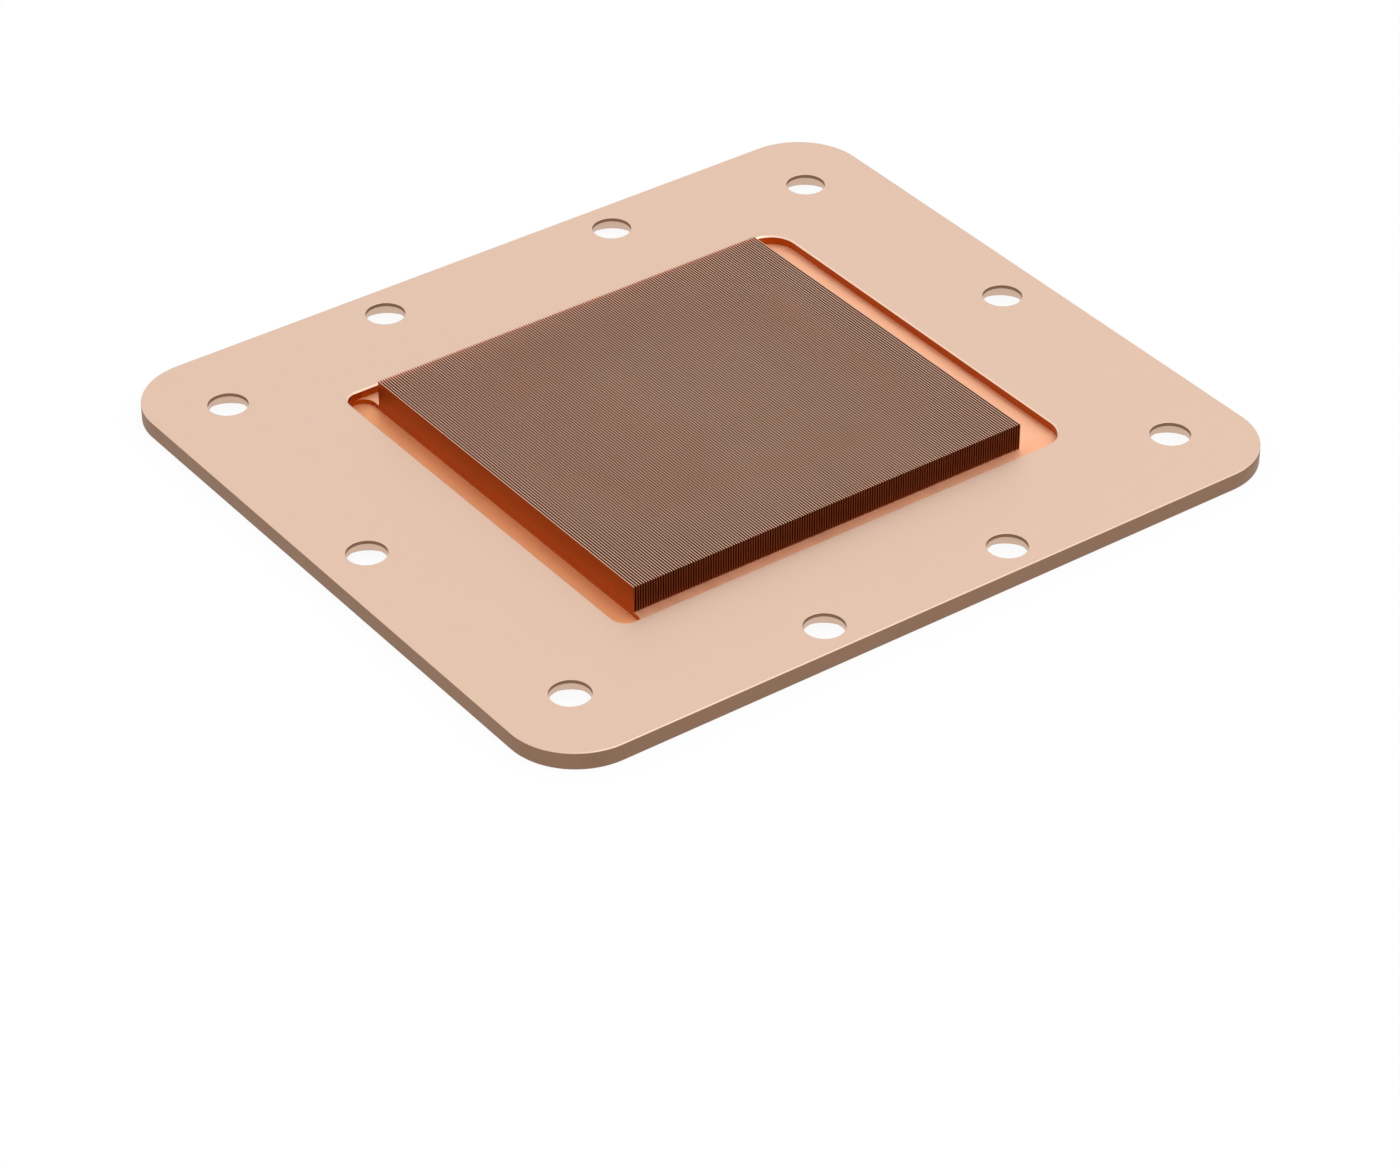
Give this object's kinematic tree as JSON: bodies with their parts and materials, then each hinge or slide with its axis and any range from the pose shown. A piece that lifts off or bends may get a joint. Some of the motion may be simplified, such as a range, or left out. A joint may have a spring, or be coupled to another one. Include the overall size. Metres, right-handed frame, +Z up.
{
  "type": "liquid cold plate base",
  "caption": "Thin rounded copper flange with through holes and a shallow pocket, from which a block of fine skived cooling fins stands.",
  "frame": {"origin": "middle of the flat underside, the face that lies on the chip", "axes": "+Z up from the underside through the fins; X across the fins, with the run-out groove on the -X side; Y along the fins, with the closer pair of holes on the -Y side"},
  "size_m": [0.06, 0.053, 0.0026],
  "materials": {
    "bare_copper": "satin machined copper"
  },
  "bodies": {
    "root": {"cold_plate": "bare_copper"}
  },
  "joints": []
}
